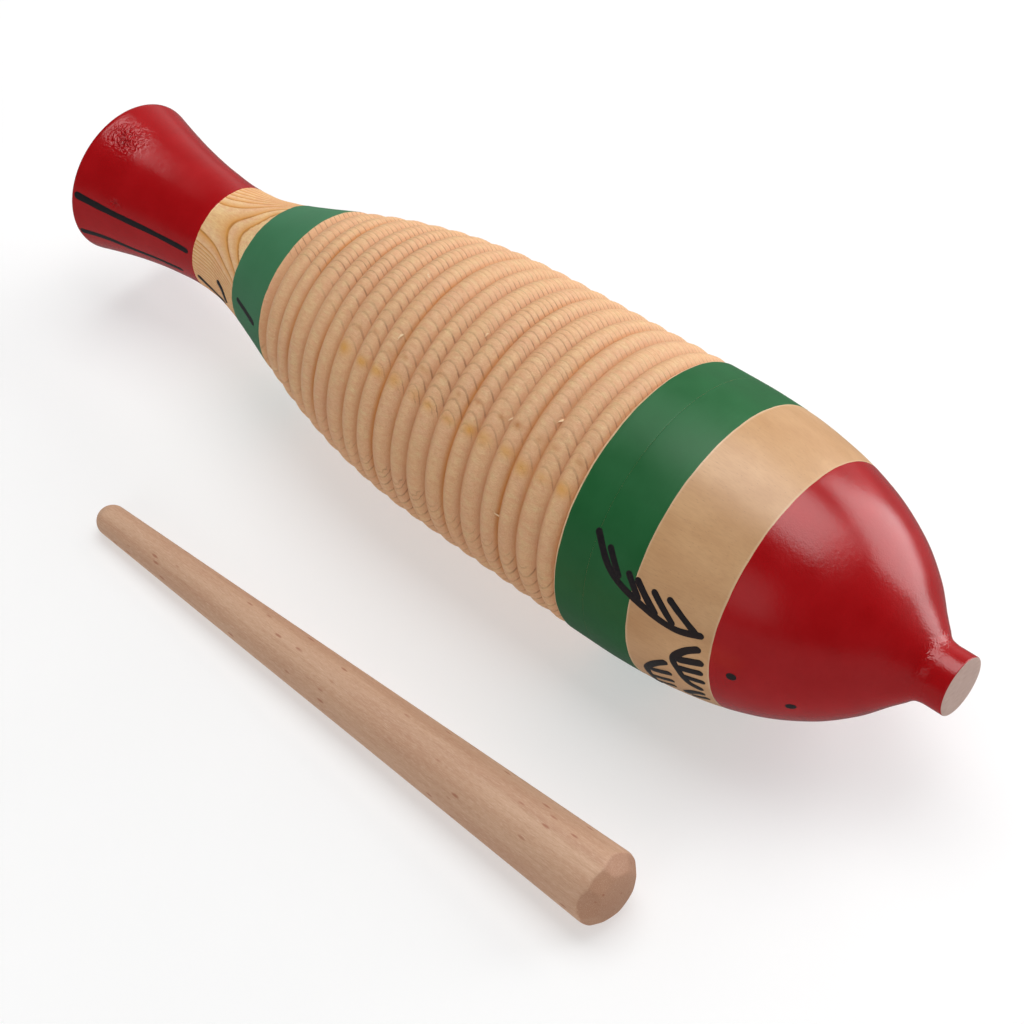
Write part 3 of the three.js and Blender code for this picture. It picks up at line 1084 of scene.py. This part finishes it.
# Strokes of each drawing: a list of (distance from the tail, degrees from the viewer's side), and a width.
DRAWINGS = {
    "ink_tail_rays": [
        ([(1.5, 34.6), (12.9, 37.2), (24.2, 38.6), (50.2, 38.6)], 2.3),
        ([(1.5, 68), (12, 68.5), (25.3, 73), (45.6, 71.5)], 2.1),
    ],
    "ink_neck_marks": [
        ([(54.2, 62.0), (63.4, 70.3), (69.5, 66.6)], 2.3),
        ([(66.2, 45.5), (69.6, 51.5), (71.2, 63)], 2.2),
        ([(80.0, 41.2), (93.2, 44.4)], 2.2),
    ],
    "ink_fin": [
        ([(249.6, 19.5), (258.7, 32), (271, 37.9), (281.5, 40.5), (290.4, 37.9)], 2.4),
        ([(255.1, 22.5), (261.4, 32.4)], 2.2),
        ([(263.2, 27.6), (269.2, 36.4)], 2.3),
        ([(266.4, 28.2), (275.4, 38.8)], 2.4),
        ([(272.3, 29.1), (281.1, 39.3)], 2.2),
        ([(277.3, 29.1), (288.6, 38.8)], 2.2),
    ],
    "ink_gills": [
        ([(290.2, 44.4), (285.4, 48.9), (282.1, 55.5), (283.7, 61.8), (286.4, 68.2), (290.7, 70.6)], 2.5),
        ([(291.6, 51.3), (282.7, 55.2)], 2.7),
        ([(291.5, 57.6), (283.3, 60.0)], 2.5),
        ([(291.9, 63.6), (284.8, 64.6)], 2.2),
        ([(280.0, 59.6), (275.3, 65), (272.0, 72), (272.2, 80), (272.5, 88.4)], 2.4),
        ([(281.0, 66.9), (273.1, 71.4)], 2.4),
        ([(280.9, 73.2), (272.7, 78.3)], 2.1),
        ([(280.3, 79), (272.8, 84.6)], 2.0),
        ([(282.6, 82.5), (286.6, 76.8), (290.6, 74.3)], 2.5),
        ([(284.8, 83.5), (291.2, 78.8)], 2.1),
    ],
    "ink_eyes": [
        ([(298.4, 54.6), (300.8, 52.0)], 2.9),
        ([(313.7, 69.1), (316.3, 66.9)], 2.8),
    ],
}
MIRROR = 92.0                # the drawing is repeated on the far side, mirrored about this angle
# Section of a stroke: places across it as shares of half its width, and heights as shares of the rise.
STROKE_ACROSS = np.array([-1.0, -0.8, -0.35, 0.35, 0.8, 1.0, 0.5, -0.5])
STROKE_HEIGHT = np.array([-0.01, 0.75, 1.0, 1.0, 0.75, -0.01, -1.2, -1.2])


def smooth_path(points, step):
    """Points of a smooth curve through the given ones, about a step apart."""
    if len(points) == 2:
        points = np.array([points[0], points.mean(0), points[1]])
    padded = np.concatenate([[2 * points[0] - points[1]], points, [2 * points[-1] - points[-2]]])
    path = []
    for p0, p1, p2, p3 in zip(padded, padded[1:], padded[2:], padded[3:]):
        count = max(2, int(np.linalg.norm(p2 - p1) / step))
        for t in np.arange(count) / count:
            path.append(0.5 * (2 * p1 + (p2 - p0) * t + (2 * p0 - 5 * p1 + 4 * p2 - p3) * t ** 2
                               + (3 * p1 - p0 - 3 * p2 + p3) * t ** 3))
    path.append(points[-1])
    return np.array(path)


def on_surface(x, angle, rise):
    """Points over the painted surface at an angle from straight up."""
    return round_axis(x, outline_radius(x) + PAINT_THICKNESS + rise, angle)


def stroke_stations(total, width):
    """Places along a stroke of a total length, closer together where its ends are rounded."""
    cap = width / 2 * (1 - np.cos(np.linspace(0, math.pi / 2, 6)))[:-1]
    inner = np.arange(width / 2, total - width / 2, 0.6)
    stations = np.concatenate([cap, inner, (total - cap)[::-1]])
    return np.unique(np.clip(stations, 0, total))


def stroke_half_widths(stations, width, seed):
    """Half the width of a stroke with round ends at its stations, slightly uneven as by hand."""
    from_end = np.minimum(stations, stations[-1] - stations)
    into_cap = np.clip(from_end / (width / 2), 0, 1)
    cap = np.sqrt(np.clip(1 - (1 - into_cap) ** 2, 0.02, 1))
    return width / 2 * cap * (1 + 0.07 * wobble(seed, stations / 1.7, octaves=3))


def add_stroke(verts, faces, points, width, seed):
    """Adds one closed, slightly domed stroke with round ends that lies on the turned surface."""
    base = np.array(points, float)
    middle_r = float(outline_radius(base[:, 0].mean()))
    path = smooth_path(np.stack([base[:, 0], np.radians(base[:, 1]) * middle_r], -1), 0.5)
    length = np.concatenate([[0], np.cumsum(np.linalg.norm(np.diff(path, axis=0), axis=1))])
    stations = stroke_stations(length[-1], width)
    half = stroke_half_widths(stations, width, seed)
    centre = np.stack([np.interp(stations, length, path[:, k]) for k in range(2)], -1)
    tangent = np.gradient(centre, axis=0)
    tangent /= np.linalg.norm(tangent, axis=1)[:, None]
    normal = np.stack([-tangent[:, 1], tangent[:, 0]], -1)
    faces += tube_faces(len(verts), len(stations), len(STROKE_ACROSS))
    for k in range(len(stations)):
        spot = centre[k][None, :] + normal[k][None, :] * (half[k] * STROKE_ACROSS)[:, None]
        lift = STROKE_HEIGHT * INK_RISE * (1 if 0 < k < len(stations) - 1 else 0.3)
        verts.extend(on_surface(spot[:, 0], spot[:, 1] / middle_r + VIEWER_SIDE, lift))


def make_ink(name, strokes, material):
    """The strokes of one drawing and their mirror images on the far side."""
    verts, faces = [], []
    mirrored = [([(x, 2 * MIRROR - a) for x, a in points], width) for points, width in strokes]
    for k, (points, width) in enumerate(strokes + mirrored):
        add_stroke(verts, faces, points, width, 50 + k)
    piece = place(name, closed_mesh(name, verts, faces), INSTRUMENT, 60, [material])
    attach(piece, "instrument")


# ---- Fibres raised by the turning tool ----

# Where they stand, as (distance from the tail, degrees round from the viewer's side).
CHIPS = [(159, -3), (183, -21), (152, -30), (207, 2), (215, 40), (222, -7)]
CHIP_STEPS = 7
CHIP_SECTION = ((-1, 0), (0, 0.05), (1, 0), (0, -0.05))


def chip_points(x, degrees, rng):
    """Points of one curled sliver that tapers away from the bead it stands on."""
    angle = math.radians(degrees) + VIEWER_SIDE
    out = around(angle)
    tangent = around(angle + math.pi / 2)
    from_groove = min(np.abs(GROOVES - x).min() / 3.8, 1)
    base_r = outline_radius(x) - RIDGE_DEPTH * (1 - from_groove) ** 2 - 0.1
    base = np.array([x, 0, 0]) + out * base_r
    heading = rng.uniform(0, 2 * math.pi)
    direction = np.array([1.0, 0, 0]) * math.cos(heading) + tangent * math.sin(heading)
    side = np.cross(out, direction)
    length, width, lift = rng.uniform(1.6, 2.8), rng.uniform(0.6, 1.0), rng.uniform(0.4, 0.9)
    points = []
    for s in np.arange(CHIP_STEPS) / (CHIP_STEPS - 1):
        spot = base + direction * length * s + out * (lift * math.sin(s * 2.2) + 0.08)
        half = width / 2 * (1 - 0.8 * s)
        points += [spot + side * half * across + out * up for across, up in CHIP_SECTION]
    return points


def make_chips(material):
    """Small slivers of pine that stand up from the beads."""
    verts, faces = [], []
    rng = np.random.default_rng(71)
    for x, degrees in CHIPS:
        faces += tube_faces(len(verts), CHIP_STEPS, len(CHIP_SECTION))
        verts += chip_points(x, degrees, rng)
    piece = place("pine_fibres", closed_mesh("pine_fibres", verts, faces), INSTRUMENT, 60, [material])
    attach(piece, "instrument")


# ---- Build ----

red = red_paint()
green = green_paint()
hardwood = lacquered_hardwood()
marker = ink()

make_body([red, neck_pine(), green, ridged_pine(), inside_pine(), sheen_lit_green_paint()])
make_head([green, hardwood, red, hardwood])
make_dowel([red, bare_end_grain()])
make_scraper(beech())
for name, strokes in DRAWINGS.items():
    make_ink(name, strokes, marker)
make_chips(pale_fibre())


# ---- Studio ----

CAMERA_AZIMUTH = math.radians(42.56)
CAMERA_ELEVATION = math.radians(45.97)
CAMERA_DISTANCE = 0.7537
CAMERA_LENS = 84.35
AIM_OFFSET = Vector((0.0192, 0.0168, -0.0256))
FLOOR_REACH = 6.0

WHITE = (1.0, 1.0, 1.0)
ROOM_LIGHT = 0.27            # what matt surfaces see past the softboxes
BACKDROP = 0.97              # what the camera sees past the floor
# What shiny surfaces see: a dark room in front, a paler wall behind that darkens upwards, a grey floor.
FRONT_SHINE = (0.04, 0.04, 0.04)
GROUND_SHINE = (0.20, 0.20, 0.20)
WALL_SHINE = ((0.0, 0.60), (0.19, 0.50), (0.59, 0.27), (1.0, 0.04))


def direction_to(azimuth, elevation):
    return Vector((
        math.sin(azimuth) * math.cos(elevation),
        -math.cos(azimuth) * math.cos(elevation),
        math.sin(elevation),
    ))


def look_from(thing, position, target):
    thing.location = position
    thing.rotation_euler = (target - position).to_track_quat("-Z", "Y").to_euler()


def add_camera():
    data = bpy.data.cameras.new("camera")
    data.lens = CAMERA_LENS
    data.sensor_width = 36
    data.clip_start = 0.01
    camera = add_object("camera", data)
    low, high = cad_box
    aim = (low + high) / 2 + AIM_OFFSET
    look_from(camera, aim + direction_to(CAMERA_AZIMUTH, CAMERA_ELEVATION) * CAMERA_DISTANCE, aim)
    bpy.context.scene.camera = camera


def add_softbox(name, position, target, width, height, radiance, seen_by):
    """A rectangular softbox whose face shines with the given radiance, on matt or on shiny surfaces."""
    data = bpy.data.lights.new(name, "AREA")
    data.shape = "RECTANGLE"
    data.size = width
    data.size_y = height
    data.energy = radiance * math.pi * width * height
    lamp = add_object(name, data)
    lamp.visible_camera = False
    lamp.visible_diffuse = seen_by == "matt"
    lamp.visible_glossy = seen_by == "shine"
    look_from(lamp, position, target)


def add_floor(level):
    mesh = bpy.data.meshes.new("floor")
    signs = ((-1, -1), (1, -1), (1, 1), (-1, 1))
    mesh.from_pydata([(a * FLOOR_REACH, b * FLOOR_REACH, 0) for a, b in signs], [], [(0, 1, 2, 3)])
    mesh.materials.append(pale_floor())
    floor = add_object("floor", mesh)
    floor.location = (0, 0, level)
    floor.visible_glossy = False


def world_shine(world):
    """What shiny surfaces see past the softboxes."""
    split = world.split(world.node("ShaderNodeTexCoord").outputs["Generated"])
    wall = world.ramp(split["Z"], *WALL_SHINE)
    behind = world.range(split["Y"], 0.1, 0.6, interpolation_type="SMOOTHSTEP")
    above = world.range(split["Z"], -0.03, 0.03)
    return world.mix(above, GROUND_SHINE, world.mix(behind, FRONT_SHINE, wall))


def background(world, colour, strength=1.0):
    return world.fill(world.node("ShaderNodeBackground"), Color=colour, Strength=strength)


def mix_shader(world, factor, a, b):
    made = world.node("ShaderNodeMixShader")
    for socket, value in zip(made.inputs, (factor, a, b)):
        world.feed(socket, value)
    return made.outputs[0]


def set_world():
    """A dim room for the light, and a white backdrop where the camera sees past the floor."""
    data = bpy.data.worlds.new("studio")
    bpy.context.scene.world = data
    data.use_nodes = True
    world = Nodes(data.node_tree)
    ray = world.node("ShaderNodeLightPath").outputs
    room = background(world, WHITE, ROOM_LIGHT)
    lit = mix_shader(world, ray["Is Glossy Ray"], room, background(world, world_shine(world)))
    seen = mix_shader(world, ray["Is Camera Ray"], lit, background(world, WHITE, BACKDROP))
    world.feed(world.node("ShaderNodeOutputWorld").inputs[0], seen)


NOSE_SPOT = Vector((0.14, 0.03, 0.05))
MIDDLE = Vector((0, 0, 0.05))
BACK_LAMP = NOSE_SPOT + direction_to(math.radians(156), math.radians(22)) * 1.3
TOP_LAMP = Vector((0.08, 0.30, 1.35))
FRONT_LAMP = MIDDLE + direction_to(math.radians(12), math.radians(22)) * 1.4
FILL_LAMP = MIDDLE + direction_to(math.radians(17), math.radians(27)) * 1.4
NEARLY_DOWN = Vector((0, -0.001, -1))
# The two main softboxes come in pairs, apart from each other: (seen by, strength, shift).
LAMP_PAIRS = (("matt", 0.86, Vector((-0.24, 0.02, 0.03))), ("shine", 1.0, Vector((0, 0, 0))))

add_camera()
for seen_by, strength, shift in LAMP_PAIRS:
    back, top = BACK_LAMP + shift, TOP_LAMP + shift
    add_softbox("softbox_back_" + seen_by, back, NOSE_SPOT, 1.08, 1.1, 3.6 * strength, seen_by)
    add_softbox("softbox_top_" + seen_by, top, top + NEARLY_DOWN, 1.3, 1.05, 3.5 * strength, seen_by)
add_softbox("fill_matt", FRONT_LAMP, MIDDLE, 0.6, 0.6, 2.6, "matt")
add_softbox("fill_shine", FILL_LAMP, MIDDLE, 0.5, 0.8, 0.45, "shine")
set_world()
low_corner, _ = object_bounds()
add_floor(low_corner.z)
bpy.context.scene.view_settings.view_transform = "Standard"
